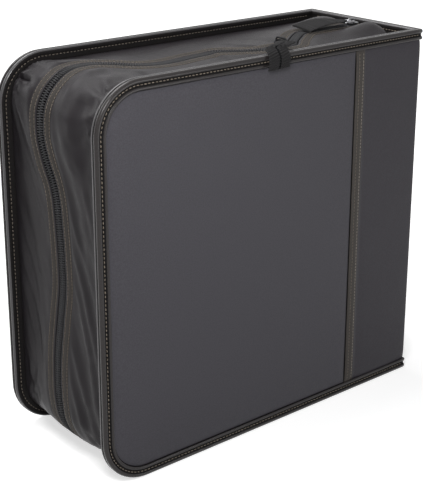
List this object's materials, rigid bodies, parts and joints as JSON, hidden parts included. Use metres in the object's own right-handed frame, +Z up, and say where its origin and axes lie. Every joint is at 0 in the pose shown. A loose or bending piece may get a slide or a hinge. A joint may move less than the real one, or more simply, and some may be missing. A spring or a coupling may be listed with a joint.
{
  "type": "cd storage case",
  "caption": "Zip-around disc storage case with leather-like covers, bound edges, cloth zip gusset, two ribbon pulls and sleeve pages on a spine.",
  "frame": {"origin": "middle of the base on the standing surface, halfway between fore edge and spine and between the two covers", "axes": "+X towards the spine, -Y out of the front cover, +Z up"},
  "size_m": [0.325, 0.1334, 0.3076],
  "materials": {
    "cover_leather": "fine-grained charcoal leatherette, satin",
    "spine_leather": "darker charcoal leatherette, satin",
    "binding_leather": "grey-brown leatherette binding with one tan stitch row",
    "board": "grey-brown stiffening board",
    "lining_cloth": "black nylon lining",
    "gusset_cloth": "dark grey coated nylon",
    "zip_tape": "black woven tape",
    "zip_teeth": "dark grey nylon coil",
    "slider_metal": "dark nickel finish, shiny",
    "pull_cord": "black cord",
    "pull_ribbon": "charcoal ribbed ribbon",
    "page_strip": "black webbing",
    "sleeve_page": "clear film over light grey felt"
  },
  "bodies": {
    "back_half": {"back_cover_panel": "cover_leather", "back_spine_strip": "spine_leather", "back_cover_board": "board", "back_lining": "lining_cloth", "back_binding": "binding_leather", "back_gusset": "gusset_cloth", "back_zip_tape": "zip_tape", "back_zip_teeth": "zip_teeth"},
    "spine_section": {"spine_panel": "spine_leather", "spine_board": "board", "spine_lining": "lining_cloth", "spine_top_binding": "binding_leather", "spine_bottom_binding": "binding_leather", "page_binding_strip": "page_strip", "sleeve_pages": "sleeve_page"},
    "front_half": {"front_cover_panel": "cover_leather", "front_spine_strip": "spine_leather", "front_cover_board": "board", "front_lining": "lining_cloth", "front_binding": "binding_leather", "front_gusset": "gusset_cloth", "front_zip_tape": "zip_tape", "front_zip_teeth": "zip_teeth"},
    "front_slider_body": {"front_slider": "slider_metal"},
    "front_pull": {"front_pull_cord": "pull_cord", "front_pull_ribbon": "pull_ribbon"},
    "back_slider_body": {"back_slider": "slider_metal"},
    "back_pull": {"back_pull_link": "slider_metal", "back_pull_ribbon": "pull_ribbon"}
  },
  "joints": [
    {"name": "spine_fold", "type": "hinge", "parent": "back_half", "child": "spine_section", "pos_m": [0.1614, 0.0644, 0.1525], "axis": [0, 0, 1], "range_deg": [0, 90]},
    {"name": "front_cover_fold", "type": "hinge", "parent": "spine_section", "child": "front_half", "pos_m": [0.1614, -0.0644, 0.1525], "axis": [0, 0, 1], "range_deg": [0, 120]},
    {"name": "front_slider_travel", "type": "slide", "parent": "front_half", "child": "front_slider_body", "axis": [1, 0, 0], "range_m": [-0.006, 0.006]},
    {"name": "front_pull_swing", "type": "hinge", "parent": "front_slider_body", "child": "front_pull", "pos_m": [0.0395, -0.0235, 0.30451], "axis": [-1, 0, 0], "range_deg": [0, 150]},
    {"name": "back_slider_travel", "type": "slide", "parent": "back_half", "child": "back_slider_body", "axis": [1, 0, 0], "range_m": [-0.04, 0]},
    {"name": "back_pull_swing", "type": "hinge", "parent": "back_slider_body", "child": "back_pull", "pos_m": [0.1465, 0.0015, 0.3041], "axis": [0, 1, 0], "range_deg": [0, 150]}
  ]
}
